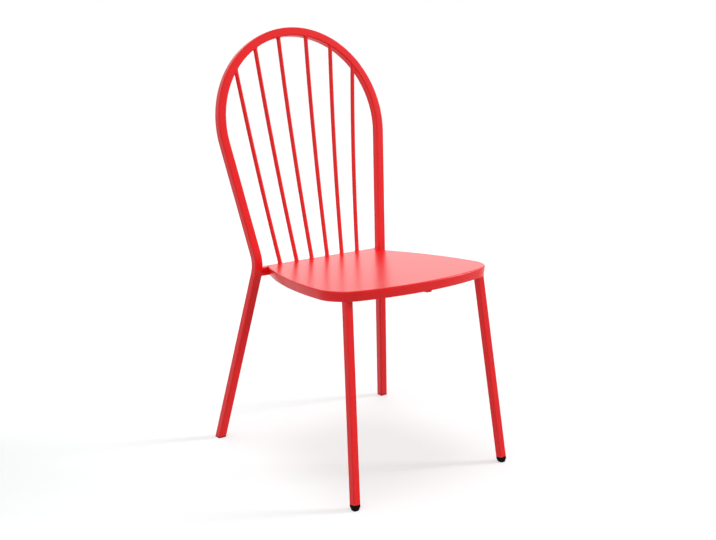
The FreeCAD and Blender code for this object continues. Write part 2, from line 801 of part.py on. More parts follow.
def glide(label, stand):
    """Part of a front foot under its collar, which narrows to just past the floor."""
    wide_end = DOC.addObject("Sketcher::SketchObject", label + "_top")
    tube_section(wide_end, "leg", "outline")
    narrow_end = DOC.addObject("Sketcher::SketchObject", label + "_end")
    rounded_square(
        narrow_end, "glide", (size("front_glide_width"), "Sizes.front_glide_width"),
        (size("front_glide_corner"), "Sizes.front_glide_corner"),
    )
    levels = (size("front_foot_height") - size("front_collar_height"), -size("glide_past_floor"))
    for section, level in zip((wide_end, narrow_end), levels):
        section.Placement = stand * Placement(Vector(0, 0, level), Rotation())
    loft = DOC.addObject("Part::Loft", label)
    loft.Sections = [wide_end, narrow_end]
    loft.Solid = True
    loft.Ruled = True
    loft.Linearize = True
    return loft


for name, side in SIDES.items():
    stand = leg_frame(side, MIDDLE)
    label = f"front_foot_{name}"
    collar = straight_tube(
        label + "_collar", "leg", stand, "Sizes.front_collar_height", collar_start, "outline"
    )
    plug = straight_tube(
        label + "_plug", "leg", stand, "Sizes.plug_length", "Sizes.front_foot_height", "bore",
        "Sizes.plug_clearance", clearance,
    )
    whole = DOC.addObject("Part::MultiFuse", label + "_whole")
    whole.Shapes = [collar, plug, glide(label + "_glide", stand)]
    whole.Refine = True
    node(cut(label, whole, floor_block), label)

rear_blank = "2 * (Sizes.trim + Sizes.plug_length)"
for name, side in SIDES.items():
    label = f"rear_foot_{name}"
    outline = straight_tube(label + "_outline", "tube", REAR_LEG[side], rear_blank, part="outline")
    bore = straight_tube(
        label + "_bore", "tube", REAR_LEG[side], rear_blank, "", "bore", "Sizes.plug_clearance", clearance
    )
    slab = block(
        label + "_slab", Vector(-reach, -reach, 0), FLOOR_PLANE, ALL_ROUND, ALL_ROUND, "Sizes.rear_plate"
    )
    room = block(
        label + "_room", Vector(-reach, -reach, size("rear_plate")), FLOOR_PLANE, ALL_ROUND, ALL_ROUND,
        "Sizes.plug_length",
    )
    foot = DOC.addObject("Part::MultiFuse", label)
    foot.Shapes = [common(label + "_plate", outline, slab), common(label + "_plug", bore, room)]
    node(foot, label)

# Weld beads
def group(label, members):
    """Like pieces kept together as separate solids."""
    result = DOC.addObject("Part::Compound", label)
    result.Links = members
    return node(result, label)


def rod_bead(label, place, spread, height):
    """Bead round a rod that narrows to a thin edge on it."""
    bead = DOC.addObject("Part::Cone", label)
    bind(
        bead, Radius1=f"Sizes.spindle_diameter / 2 + {spread}", Height=height,
        Radius2="Sizes.spindle_diameter / 2 + Sizes.bead_edge",
    )
    bead.Placement = place
    return bead


# the beads at the rods' feet stay behind the sheet's rear edge
edge_block = block(
    "edge_block", Vector(-reach, seat_back() - 2 * reach, -reach), SEAT_PLANE, ALL_ROUND, ALL_ROUND, ALL_ROUND
)
FOOT_SPREAD = "2 * Sizes.rod_bead"
TOP_SPREAD = "3 * Sizes.rod_bead"
foot_beads = []
top_beads = []
for number, (row, side) in enumerate(RODS, 1):
    point, along = tangent_at(row, side, False)
    place = frame(point - along * size("rod_bead"), along, Vector(0, 1, 0))
    bead = rod_bead(f"foot_bead_{number}", place, FOOT_SPREAD, FOOT_SPREAD)
    foot_beads.append(cut(f"foot_weld_{number}", bead, rod_block, edge_block, rods[number - 1]))
    point, along = tangent_at(row, side, True)
    angle = math.radians(size(row + "_top_angle"))
    hoop_normal = Vector(side * math.sin(angle), 0, 0) + HOOP_UP * math.cos(angle)
    mouth = point - along * (size("tube_width") / 2 / along.dot(hoop_normal))
    place = frame(mouth + along * 2 * size("rod_bead"), along.negative(), Vector(0, 1, 0))
    bead = rod_bead(f"top_bead_{number}", place, TOP_SPREAD, TOP_SPREAD)
    top_beads.append(cut(f"top_weld_{number}", bead, hoop_round, rods[number - 1]))
group("spindle_foot_welds", foot_beads)
group("spindle_top_welds", top_beads)


def tapered_collar(label, stock, bead, place):
    """Collar round a tube that narrows to it, solid, with as long a straight part behind it."""
    body = DOC.addObject("PartDesign::Body", label)
    wider = "Sizes." + bead
    for part, reversed_pad in (("taper", False), ("straight", True)):
        outline = sketch_on(body, f"{label}_{part}_outline")
        rounded_square(outline, "collar", *stock_outline(stock, wider, size(bead)))
        pad = body.newObject("PartDesign::Pad", f"{label}_{part}")
        pad.Profile = outline
        pad.Reversed = reversed_pad
        bind(pad, Length=wider)
        if not reversed_pad:
            bind(pad, TaperAngle="-Sizes.bead_slope_angle")
    body.Placement = place
    return body


rail_beads = []
for name, side in SIDES.items():
    inner_face = size("bend_half_span") - size("tube_width") / 2
    spot = Vector(side * (inner_face + size("bead_root")), size("rear_rail_back"), tube_level)
    place = SEAT_PLANE * frame(spot, Vector(-side, 0, 0), UP)
    collar = tapered_collar(f"rail_collar_{name}", "tube", "rail_bead", place)
    rail_beads.append(cut(f"rail_weld_{name}", collar, hoop_core, rail_core))
group("rail_welds", rail_beads)

leg_beads = []
for name, side in SIDES.items():
    foot, top = leg_ends(side, MIDDLE)
    spot = SEAT_PLANE.multVec(leg_at(side, -size("skirt_depth")))
    place = frame(spot, foot - top, Vector(0, 1, 0))
    collar = tapered_collar(f"leg_collar_{name}", "leg", "leg_bead", place)
    leg_beads.append(cut(f"leg_bead_{name}", collar, leg_cores[side], pan_round))
group("leg_welds", leg_beads)

# Check every piece and write it
DOC.recompute()
for thing in DOC.Objects:
    bad = [state for state in thing.State if state in ("Invalid", "Error")]
    if bad:
        raise RuntimeError(f"{thing.Name}: {bad}")
os.makedirs("parts", exist_ok=True)
for thing in NODES:
    shape = thing.Shape
    if shape.isNull() or not shape.isValid() or not shape.Solids:
        raise RuntimeError(f"{thing.Label}: no valid solid")
    shape.exportStep(f"parts/{thing.Label}.step")
    box = shape.BoundBox
    print(
        f"{thing.Label:20s} solids {len(shape.Solids)} volume {shape.Volume:10.1f}"
        f" x {box.XMin:.2f}..{box.XMax:.2f} y {box.YMin:.2f}..{box.YMax:.2f} z {box.ZMin:.2f}..{box.ZMax:.2f}"
    )
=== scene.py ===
"""Metal bistro chair: the dressed model around its CAD frame.

Every length is a real size. Class fields are in millimetres, meshes are in metres, X runs across the chair,
the chair faces -Y and Z is up, with the origin on the floor under the middle of the chair.
"""

import logging
import math
from collections.abc import Iterable
from dataclasses import dataclass
from enum import Enum

import bmesh
import bpy
from bmesh.types import BMEdge, BMVert
from bpy.types import ID, Material, Node, NodeSocket, NodeTree, Object
from mathutils import Matrix, Vector
from mathutils.bvhtree import BVHTree


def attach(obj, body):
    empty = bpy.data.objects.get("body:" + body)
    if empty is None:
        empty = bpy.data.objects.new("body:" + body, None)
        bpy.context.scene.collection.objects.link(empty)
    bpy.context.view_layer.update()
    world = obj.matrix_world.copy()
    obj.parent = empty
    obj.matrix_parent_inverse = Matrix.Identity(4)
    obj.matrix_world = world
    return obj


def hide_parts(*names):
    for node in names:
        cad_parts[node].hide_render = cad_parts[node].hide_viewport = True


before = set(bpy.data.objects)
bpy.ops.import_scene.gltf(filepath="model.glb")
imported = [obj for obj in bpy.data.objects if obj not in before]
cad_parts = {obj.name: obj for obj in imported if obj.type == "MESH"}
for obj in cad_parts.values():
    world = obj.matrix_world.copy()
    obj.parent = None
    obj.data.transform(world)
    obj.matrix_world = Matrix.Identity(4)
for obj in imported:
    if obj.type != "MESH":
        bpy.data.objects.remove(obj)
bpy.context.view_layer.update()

logging.basicConfig(level=logging.INFO, format="%(message)s")
LOG = logging.getLogger("bistro_chair")
MM = 0.001
TINY = 1e-6
UP = Vector((0.0, 0.0, 1.0))
REARWARD = Vector((0.0, 1.0, 0.0))
Edges = list[BMEdge]


class Side(Enum):
    """Side of the chair, with the sign that its X coordinates have."""

    LEFT = -1
    RIGHT = 1


class Row(Enum):
    """Pair of back rods: half span at the foot in millimetres, angle round the hoop at the top in degrees."""

    INNER = (22.4, 10.1)
    MIDDLE = (65.6, 28.8)
    OUTER = (111.7, 48.7)


def turned_frame(origin: Vector, along: Vector, ahead: Vector) -> Matrix:
    """Make a frame with Z along one direction and Y as near as can be to another.

    Args:
        origin: Where the frame's origin lies.
        along: Direction of the frame's Z axis.
        ahead: Direction that the frame's Y axis leans to.

    Returns:
        The frame as a 4 by 4 matrix.
    """
    axis_z = along.normalized()
    axis_x = ahead.cross(axis_z).normalized()
    axis_y = axis_z.cross(axis_x)
    turn = Matrix((axis_x, axis_y, axis_z)).transposed().to_4x4()
    return Matrix.Translation(origin) @ turn


def once(items: Iterable) -> list:
    """Return the items in their order, each of them once."""
    return list(dict.fromkeys(items))


def across(point: Vector) -> Vector:
    """Return the point at the same place on the other side of the chair."""
    return Vector((-point.x, point.y, point.z))


def stand(name: str, data: ID, place: Matrix | None = None) -> Object:
    """Stand a new object in the scene.

    Args:
        name: The object's name.
        data: Its mesh, camera or light.
        place: Its place, or none for the origin.

    Returns:
        The object.
    """
    thing = bpy.data.objects.new(name, data)
    bpy.context.scene.collection.objects.link(thing)
    if place is not None:
        thing.matrix_world = place
    return thing


@dataclass(frozen=True)
class ChairPlan:
    """Where the chair's members run, as the real one is laid out."""

    middle: float = 21.577
    tube: float = 20.0
    tube_corner: float = 2.9
    leg: float = 17.0
    leg_corner: float = 2.0
    hoop_radius: float = 220.9
    hoop_rise: float = 317.3
    back_lean: float = 13.3
    bend_half_span: float = 176.2
    bend_back: float = 172.0
    bend_height: float = 438.6
    bend_radius: float = 95.0
    rear_foot: tuple = (247.3, 255.6)
    front_foot: tuple = (207.6, -256.8)
    leg_top: tuple = (178.52, -189.92)
    seat_height: float = 443.2
    seat_slope: float = 3.65
    sheet: float = 1.2
    skirt_depth: float = 22.0
    rail_back: float = 177.0
    rod_setback: float = 4.0
    rod_forward: float = 5.0
    past_floor: float = 30.0
    foot_height: float = 12.5
    foot_plate: float = 2.5

    def hoop_point(self, aside: float, up: float, forward: float = 0.0) -> Vector:
        """Find a point in the leaning plane of the back.

        Args:
            aside: Distance from the middle plane.
            up: Distance up the leaning plane from the level of the bends.
            forward: Distance in front of the plane.

        Returns:
            The point in metres.
        """
        lean = math.radians(self.back_lean)
        back = self.bend_back - self.middle + up * math.sin(lean) - forward * math.cos(lean)
        height = self.bend_height + up * math.cos(lean) + forward * math.sin(lean)
        return Vector((aside, back, height)) * MM

    def back_front(self) -> Vector:
        """Return the direction that the leaning plane of the back faces."""
        return (self.hoop_point(0.0, 0.0, 1.0) - self.hoop_point(0.0, 0.0)).normalized()

    def seat_frame(self) -> Matrix:
        """Return the frame of the seat's own sloping plane, in metres."""
        origin = Vector((0.0, -self.middle, self.seat_height)) * MM
        return Matrix.Translation(origin) @ Matrix.Rotation(-math.radians(self.seat_slope), 4, "X")

    def on_seat(self, aside: float, back: float, above: float = 0.0) -> Vector:
        """Return a point given in the seat's own plane, in metres."""
        return self.seat_frame() @ (Vector((aside, back, above)) * MM)

    def leg_frame(self, side: Side) -> Matrix:
        """Find the frame of a front leg.

        Args:
            side: Which side the leg stands on.

        Returns:
            The frame, with its origin at the leg's floor point and Z up its axis.
        """
        foot = Vector((side.value * self.front_foot[0], self.front_foot[1] - self.middle, 0.0)) * MM
        top = self.on_seat(side.value * self.leg_top[0], self.leg_top[1])
        return turned_frame(foot, top - foot, REARWARD)

    def leg_at(self, side: Side, level: float) -> Vector:
        """Find where a front leg's axis passes a level.

        Args:
            side: Which side the leg stands on.
            level: Height above the sheet's top, in the seat's plane.

        Returns:
            The point in metres in the seat's own frame.
        """
        stand = self.leg_frame(side)
        inverse = self.seat_frame().inverted()
        foot = inverse @ stand.translation
        way = inverse.to_3x3() @ stand.col[2].to_3d()
        return foot + way * ((level * MM - foot.z) / way.z)

    def hoop_route(self) -> "HoopRoute":
        """Work out the right half of the bent tube's centre line.

        Returns:
            The route from the tube's end under the floor to the hoop.
        """
        radius, rise, half = self.hoop_radius, self.hoop_rise, self.bend_half_span
        side_angle = math.atan2(-rise, half) + math.acos(radius / math.hypot(half, rise))
        bend = self.hoop_point(half, 0.0)
        touch = self.hoop_point(radius * math.cos(side_angle), rise + radius * math.sin(side_angle))
        foot = Vector((self.rear_foot[0], self.rear_foot[1] - self.middle, 0.0)) * MM
        end = foot + (foot - bend).normalized() * self.past_floor * MM
        down, upward = (end - bend).normalized(), (touch - bend).normalized()
        half_angle = down.angle(upward) / 2.0
        tangent = self.bend_radius * MM / math.tan(half_angle)
        return HoopRoute(
            end=end, low=bend + down * tangent, high=bend + upward * tangent, touch=touch,
            bend_centre=bend + (down + upward).normalized() * (self.bend_radius * MM / math.sin(half_angle)),
            hoop_centre=self.hoop_point(0.0, rise), down=down, upward=upward,
            facing=upward.rotation_difference(-down) @ self.back_front(), turn=math.pi - 2.0 * side_angle,
        )

    def rod_line(self, row: Row, side: Side) -> tuple[Vector, Vector]:
        """Find the two ends of a back rod's chord.

        Args:
            row: Which pair the rod belongs to.
            side: Which side it stands on.

        Returns:
            The foot on the rail and the top on the hoop's centre line, in metres.
        """
        half_span, angle = row.value
        turn = math.radians(angle)
        foot = self.on_seat(side.value * half_span, self.rail_back + self.rod_setback, -self.sheet)
        aside = side.value * self.hoop_radius * math.sin(turn)
        top = self.hoop_point(aside, self.hoop_rise + self.hoop_radius * math.cos(turn), self.rod_forward)
        return foot, top

    def trim_at_sheet(self, work: "Workpiece", normal: Vector) -> None:
        """Cut a member off at the underside of the seat sheet.

        Args:
            work: The member.
            normal: Direction of the side that goes, in the seat's own frame.
        """
        seat = self.seat_frame()
        work.slice_off(seat @ (UP * -self.sheet * MM), seat.to_3x3() @ normal)


@dataclass(frozen=True)
class HoopRoute:
    """Right half of the bent tube's centre line, in metres: points, centres of the arcs and directions."""

    end: Vector
    low: Vector
    high: Vector
    touch: Vector
    bend_centre: Vector
    hoop_centre: Vector
    down: Vector
    upward: Vector
    facing: Vector
    turn: float

    def leg_frame(self, side: Side) -> Matrix:
        """Find the frame at a rear leg's lower end.

        Args:
            side: Which side the leg stands on.

        Returns:
            The frame, with Z up the leg and Y to its front.
        """
        if side is Side.RIGHT:
            return turned_frame(self.end, -self.down, self.facing)
        return turned_frame(across(self.end), across(-self.down), across(self.facing))


PLAN = ChairPlan()


class Workpiece:
    """One mesh in the making, shaped with mesh operators and finished as a chair piece."""

    corner_steps = 5
    rounding_steps = 2
    rounded_above = 25.0
    normals_weight = 80

    def __init__(self, name: str) -> None:
        """Start an empty mesh under the piece's name."""
        self.name = name
        self.bm = bmesh.new()

    def section(self, place: Matrix, width: float, corner: float, filled: bool = True) -> Edges:
        """Draw a rounded square.

        Args:
            place: Frame whose XY plane holds the section.
            width: Width across the flats in millimetres.
            corner: Corner radius in millimetres.
            filled: Whether it keeps its face.

        Returns:
            The edges round the section.
        """
        made = bmesh.ops.create_circle(
            self.bm, cap_ends=True, segments=4, radius=width * MM / math.sqrt(2.0),
            matrix=place @ Matrix.Rotation(math.pi / 4.0, 4, "Z"),
        )
        rounded = bmesh.ops.bevel(
            self.bm, geom=made["verts"], offset=corner * MM, segments=self.corner_steps,
            profile=0.5, affect="VERTICES", material=-1,
        )
        self.bm.normal_update()
        face = set.intersection(*(set(vert.link_faces) for vert in rounded["verts"])).pop()
        edges = list(face.edges)
        if not filled:
            bmesh.ops.delete(self.bm, geom=[face], context="FACES_ONLY")
        return edges

    def fresh(self) -> Edges:
        """Return the edges that aren't marked as done."""
        return [edge for edge in self.bm.edges if not edge.tag]

    def mark(self) -> None:
        """Mark every edge as done."""
        for edge in self.bm.edges:
            edge.tag = True

    def skin(self, rings: list[Edges], closed: bool = False) -> None:
        """Join loops of edges in their order.

        Args:
            rings: The loops.
            closed: Whether the last is joined to the first.
        """
        following = rings[1:] + rings[:1] if closed else rings[1:]
        for one, other in zip(rings, following):
            bmesh.ops.bridge_loops(self.bm, edges=one + other)

    def soften(self, radius: float) -> None:
        """Round the sharp edges.

        Args:
            radius: Radius in millimetres.
        """
        self.bm.normal_update()
        limit = math.radians(self.rounded_above)
        edges = [edge for edge in self.bm.edges if edge.is_manifold and edge.calc_face_angle(0.0) > limit]
        bmesh.ops.bevel(
            self.bm, geom=edges, offset=radius * MM, segments=self.rounding_steps,
            profile=0.5, affect="EDGES", material=-1,
        )

    def straight(self, edges: Edges, way: Vector, steps: int = 1) -> Edges:
        """Carry a loop of edges straight along a way.

        Args:
            edges: The loop to carry.
            way: The whole displacement in metres.
            steps: How many rings it makes.

        Returns:
            The loop at the far end.
        """
        for _ in range(steps):
            made = bmesh.ops.extrude_edge_only(self.bm, edges=edges)["geom"]
            verts = {item for item in made if isinstance(item, BMVert)}
            bmesh.ops.translate(self.bm, verts=list(verts), vec=way / steps)
            edges = [item for item in made if isinstance(item, BMEdge) and set(item.verts) <= verts]
        return edges

    def bend(
        self, edges: Edges, centre: Vector, before: Vector, after: Vector, steps: int,
        angle: float | None = None,
    ) -> Edges:
        """Carry a loop of edges round an arc.

        Args:
            edges: The loop to carry.
            centre: Centre of the arc.
            before: Direction of travel at its start.
            after: Direction of travel at its end, which with before gives the plane.
            steps: How many rings it makes.
            angle: Turn in radians, or none for the angle between the directions.

        Returns:
            The loop at the far end.
        """
        axis = before.cross(after).normalized()
        turn = before.angle(after) if angle is None else angle
        made = bmesh.ops.spin(self.bm, geom=edges, cent=centre, axis=axis, angle=turn, steps=steps)
        return [item for item in made["geom_last"] if isinstance(item, BMEdge)]

    def cap(self, edges: Edges) -> None:
        """Close a loop of edges with a face."""
        bmesh.ops.contextual_create(self.bm, geom=edges)

    def slice_off(self, point: Vector, normal: Vector) -> None:
        """Cut away what lies on one side of a plane and close the cut.

        Args:
            point: A point of the plane.
            normal: Direction of the side that goes.
        """
        geometry = self.bm.verts[:] + self.bm.edges[:] + self.bm.faces[:]
        cut = bmesh.ops.bisect_plane(
            self.bm, geom=geometry, dist=TINY, plane_co=point, plane_no=normal, clear_outer=True
        )
        rim = [item for item in cut["geom_cut"] if isinstance(item, BMEdge)]
        if rim:
            bmesh.ops.contextual_create(self.bm, geom=rim)

    def finish(self, finish: "Finish", node: str, sharp: float = 35.0) -> Object:
        """Turn the mesh into a dressed object that rides on the chair in place of a frame's node.

        Args:
            finish: The finish that the piece wears.
            node: The frame's node that it replaces.
            sharp: Angle in degrees above which an edge stays sharp.

        Returns:
            The finished object.
        """
        bmesh.ops.remove_doubles(self.bm, verts=self.bm.verts, dist=TINY)
        bmesh.ops.recalc_face_normals(self.bm, faces=self.bm.faces)
        self.bm.normal_update()
        limit = math.radians(sharp)
        for face in self.bm.faces:
            face.smooth = True
            # A loose face has no inside that shows which way it looks, so it looks up.
            if face.normal.z < 0.0 and all(edge.is_boundary for edge in face.edges):
                face.normal_flip()
        for edge in self.bm.edges:
            edge.smooth = not (edge.is_manifold and edge.calc_face_angle(0.0) > limit)
        mesh = bpy.data.meshes.new(self.name)
        self.bm.to_mesh(mesh)
        self.bm.free()
        mesh.materials.append(finish.material())
        piece = stand(self.name, mesh)
        normals = piece.modifiers.new("flat_faces_stay_flat", "WEIGHTED_NORMAL")
        normals.keep_sharp = True
        normals.weight = self.normals_weight
        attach(piece, "root")
        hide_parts(node)
        return piece


def feed(tree: NodeTree, node: Node, values: dict) -> Node:
    """Fill a node's inputs: a socket is linked, and a number or colour is written on the input itself.

    Args:
        tree: The tree that holds the node.
        node: The node.
        values: What each input gets, by the input's name or number.

    Returns:
        The same node.
    """
    for name, value in values.items():
        if isinstance(value, NodeSocket):
            tree.links.new(value, node.inputs[name])
        else:
            node.inputs[name].default_value = value
    return node


def lay(tree: NodeTree, kind: str, values: dict) -> Node:
    """Add a node to a tree and fill its inputs.

    Args:
        tree: The tree.
        kind: The node's type without its first two words.
        values: What each input gets, by the input's name or number.

    Returns:
        The new node.
    """
    return feed(tree, tree.nodes.new(f"ShaderNode{kind}"), values)


@dataclass(frozen=True)
class Finish:
    """A surface finish, built once and shared by every piece that wears it."""

    name: str
    slot: str

    def material(self) -> Material:
        """Get the finish's material, which is made on first use.

        Returns:
            The material.
        """
        found = bpy.data.materials.get(self.name)
        if found is None:
            found = bpy.data.materials.new(self.name)
            found.use_nodes = True
            place = lay(found.node_tree, "TexCoord", {}).outputs["Object"]
            self.dress(found.node_tree, found.node_tree.nodes["Principled BSDF"], place)
        return found

    def dress(self, tree: NodeTree, shader: Node, place: NodeSocket) -> None:
        """Lay the finish's nodes before its shader.

        Args:
            tree: The material's node tree.
            shader: The shader.
            place: Where a spot lies on the piece.
        """
        raise NotImplementedError

    def blend(self, tree: NodeTree, amount: NodeSocket, low: tuple, high: tuple) -> NodeSocket:
        """Blend two colours by an amount.

        Args:
            tree: The material's node tree.
            amount: The amount.
            low: The first colour, and the amount up to which it holds.
            high: The second colour, and the amount from which it holds.

        Returns:
            The blended colour.
        """
        ramp = lay(tree, "ValToRGB", {"Fac": amount})
        for stop, (colour, position) in zip(ramp.color_ramp.elements, (low, high)):
            stop.position = position
            stop.color = (*colour, 1.0)
        return ramp.outputs["Color"]


@dataclass(frozen=True)
class PowderCoat(Finish):
    """Satin powder coat: saturated pigment under a clear gloss with a fine orange-peel skin."""

    colour: tuple = (0.90, 0.009, 0.012)
    deep_colour: tuple = (0.875, 0.008, 0.011)
    cloud_scale: float = 14.0
    cloud_range: tuple = (0.30, 0.62)
    roughness: float = 0.34
    haze_scale: float = 55.0
    haze: float = 0.05
    peel_size: float = 1.6
    peel_height: float = 0.05
    peel_strength: float = 0.35
    gloss_index: float = 1.35
    gloss_roughness: float = 0.30

    def dress(self, tree: NodeTree, shader: Node, place: NodeSocket) -> None:
        """Lay pigment variation, gloss variation and the orange-peel bump.

        Args:
            tree: The material's node tree.
            shader: The shader.
            place: Where a spot lies on the piece.
        """
        cloud = lay(tree, "TexNoise", {"Vector": place, "Scale": self.cloud_scale, "Detail": 3.0})
        start, end = self.cloud_range
        pigment = self.blend(tree, cloud.outputs["Fac"], (self.deep_colour, start), (self.colour, end))
        haze = lay(tree, "TexNoise", {"Vector": place, "Scale": self.haze_scale, "Detail": 4.0})
        gloss = lay(tree, "MapRange", {
            "Value": haze.outputs["Fac"],
            "To Min": self.roughness - self.haze, "To Max": self.roughness + self.haze,
        })
        peel = lay(tree, "TexNoise", {
            "Vector": place, "Scale": 1.0 / (self.peel_size * MM), "Detail": 2.0, "Roughness": 0.4,
        })
        skin = lay(tree, "Bump", {
            "Height": peel.outputs["Fac"], "Strength": self.peel_strength, "Distance": self.peel_height * MM,
        })
        feed(tree, shader, {
            "Base Color": pigment, "Roughness": gloss.outputs["Result"], "Normal": skin.outputs["Normal"],
            "IOR": 1.5, "Specular IOR Level": 0.0, "Coat Weight": 1.0, "Coat IOR": self.gloss_index,
            "Coat Roughness": self.gloss_roughness,
        })


@dataclass(frozen=True)
class MouldedPlastic(Finish):
    """Matt black plastic with a fine spark-eroded grain."""

    colour: tuple = (0.006, 0.003, 0.0025)
    worn_colour: tuple = (0.012, 0.008, 0.007)
    scuff_scale: float = 260.0
    scuff_range: tuple = (0.35, 0.85)
    grain_scale: float = 1800.0
    grain_height: float = 0.03
    grain_strength: float = 0.4
    roughness: float = 0.70
    shine: float = 0.03

    def dress(self, tree: NodeTree, shader: Node, place: NodeSocket) -> None:
        """Lay the grain and a faint scuffed greyness.

        Args:
            tree: The material's node tree.
            shader: The shader.
            place: Where a spot lies on the piece.
        """
        scuff = lay(tree, "TexNoise", {"Vector": place, "Scale": self.scuff_scale, "Detail": 5.0})
        start, end = self.scuff_range
        shade = self.blend(tree, scuff.outputs["Fac"], (self.colour, start), (self.worn_colour, end))
        grain = lay(tree, "TexNoise", {"Vector": place, "Scale": self.grain_scale})
        skin = lay(tree, "Bump", {
            "Height": grain.outputs["Fac"],
            "Strength": self.grain_strength, "Distance": self.grain_height * MM,
        })
        feed(tree, shader, {
            "Base Color": shade, "Normal": skin.outputs["Normal"], "Roughness": self.roughness,
            "Specular IOR Level": self.shine,
        })


RED = PowderCoat("satin_red_coat", "red_powder_coat")
BLACK = MouldedPlastic("matt_black_plastic", "black_plastic")


@dataclass
class HoopFrame:
    """Rear legs and back hoop, bent from one square tube."""

    plan: ChairPlan
    leg_steps: int = 6
    bend_steps: int = 10
    side_steps: int = 4
    hoop_steps: int = 96

    def build(self) -> list[Object]:
        """Bend the tube from the left floor point over the hoop to the right one.

        Returns:
            The finished tube.
        """
        plan, route = self.plan, self.plan.hoop_route()
        rising, leaving = across(-route.down), across(route.upward)
        low, high, touch = across(route.low), across(route.high), across(route.touch)
        work = Workpiece("hoop_tube")
        loop = work.section(route.leg_frame(Side.LEFT), plan.tube, plan.tube_corner)
        loop = work.straight(loop, low - across(route.end), self.leg_steps)
        loop = work.bend(loop, across(route.bend_centre), rising, leaving, self.bend_steps)
        loop = work.straight(loop, touch - high, self.side_steps)
        inward = route.hoop_centre - touch
        loop = work.bend(loop, route.hoop_centre, leaving, inward, self.hoop_steps, route.turn)
        loop = work.straight(loop, route.high - route.touch, self.side_steps)
        loop = work.bend(loop, route.bend_centre, -route.upward, route.down, self.bend_steps)
        loop = work.straight(loop, route.end - route.low, self.leg_steps)
        work.cap(loop)
        work.slice_off(UP * plan.foot_plate * MM, -UP)
        return [work.finish(RED, "hoop_frame")]


@dataclass
class BackRods:
    """The six round rods of the back, all bowed to one radius."""

    plan: ChairPlan
    diameter: float = 10.0
    bow_radius: float = 5200.0
    sides: int = 32
    steps: int = 20
    end_inside: float = 6.0
    order: tuple = (
        (Row.OUTER, Side.LEFT), (Row.MIDDLE, Side.LEFT), (Row.INNER, Side.LEFT),
        (Row.INNER, Side.RIGHT), (Row.MIDDLE, Side.RIGHT), (Row.OUTER, Side.RIGHT),
    )

    def axis(self, row: Row, side: Side) -> tuple[Vector, Vector, Vector, Vector]:
        """Find how a rod curves.

        Args:
            row: Which pair the rod belongs to.
            side: Which side it stands on.

        Returns:
            Its foot, the centre of its bow, and its directions of travel at the foot and at the top.
        """
        foot, top = self.plan.rod_line(row, side)
        chord = (top - foot).normalized()
        bow = (REARWARD - chord * REARWARD.dot(chord)).normalized()
        radius = self.bow_radius * MM
        half = math.asin((top - foot).length / 2.0 / radius)
        centre = (foot + top) / 2.0 - bow * radius * math.cos(half)
        before = chord * math.cos(half) + bow * math.sin(half)
        after = chord * math.cos(half) - bow * math.sin(half)
        return foot, centre, before, after

    def build(self) -> list[Object]:
        """Bow each rod from the rail into the hoop.

        Returns:
            The six rods.
        """
        made = []
        for number, (row, side) in enumerate(self.order, 1):
            foot, centre, before, after = self.axis(row, side)
            work = Workpiece(f"back_rod_{number}")
            ring = bmesh.ops.create_circle(
                work.bm, cap_ends=True, segments=self.sides, radius=self.diameter / 2.0 * MM,
                matrix=turned_frame(foot, before, REARWARD),
            )
            edges = once(edge for vert in ring["verts"] for edge in vert.link_edges)
            angle = before.angle(after) - self.end_inside / self.bow_radius
            work.cap(work.bend(edges, centre, before, after, self.steps, angle))
            self.plan.trim_at_sheet(work, -UP)
            made.append(work.finish(RED, f"spindle_{number}"))
        return made


@dataclass
class FrontLegs:
    """The two splayed square legs."""

    plan: ChairPlan
    rough_length: float = 470.0
    steps: int = 8

    def build(self) -> list[Object]:
        """Cut both legs to length, up to the underside of the seat sheet.

        Returns:
            The two legs.
        """
        made = []
        for side in Side:
            place = self.plan.leg_frame(side)
            work = Workpiece(f"front_leg_tube_{side.name.lower()}")
            start = place @ Matrix.Translation(UP * self.plan.foot_height * MM)
            loop = work.section(start, self.plan.leg, self.plan.leg_corner)
            work.cap(work.straight(loop, place.to_3x3() @ (UP * self.rough_length * MM), self.steps))
            self.plan.trim_at_sheet(work, UP)
            made.append(work.finish(RED, f"front_leg_{side.name.lower()}"))
        return made


